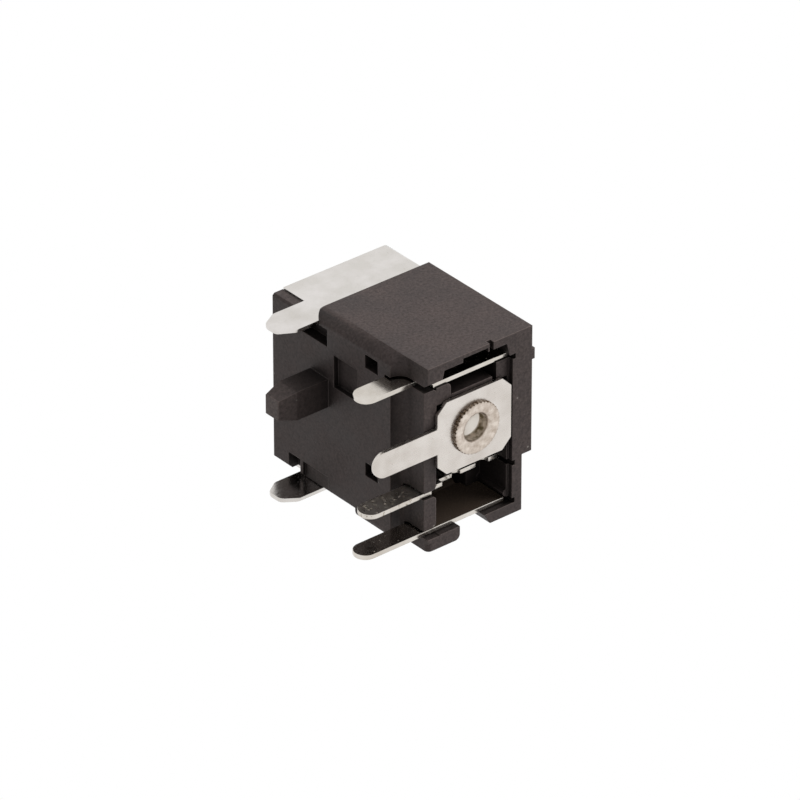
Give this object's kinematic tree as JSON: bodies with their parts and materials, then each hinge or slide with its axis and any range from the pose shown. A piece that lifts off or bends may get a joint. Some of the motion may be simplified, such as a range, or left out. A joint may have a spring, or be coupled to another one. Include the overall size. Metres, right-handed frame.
{
  "type": "board-mounted dc power jack",
  "caption": "Right-angle dc power jack: moulded body with a round plug mouth and centre pin, a folded metal strap, flat solder tabs and a locating peg on the board side.",
  "frame": {"origin": "centre of the plug mouth, on the axis of the plug and the centre pin", "axes": "+X across the jack towards its plain side, +Y from the plug mouth to the rear, +Z away from the board"},
  "size_m": [0.0138, 0.0149, 0.0139],
  "materials": {
    "housing": "fine moulded texture",
    "strap": "bright tin plate",
    "pin": "satin nickel plate",
    "terminal": "bright tin plate",
    "spring": "bright tin plate"
  },
  "bodies": {
    "root": {"housing": "housing", "shield_strap": "strap", "centre_pin": "pin", "pin_terminal": "terminal", "upper_sleeve_spring": "spring", "lower_sleeve_spring": "spring", "switch_contact": "spring"}
  },
  "joints": []
}
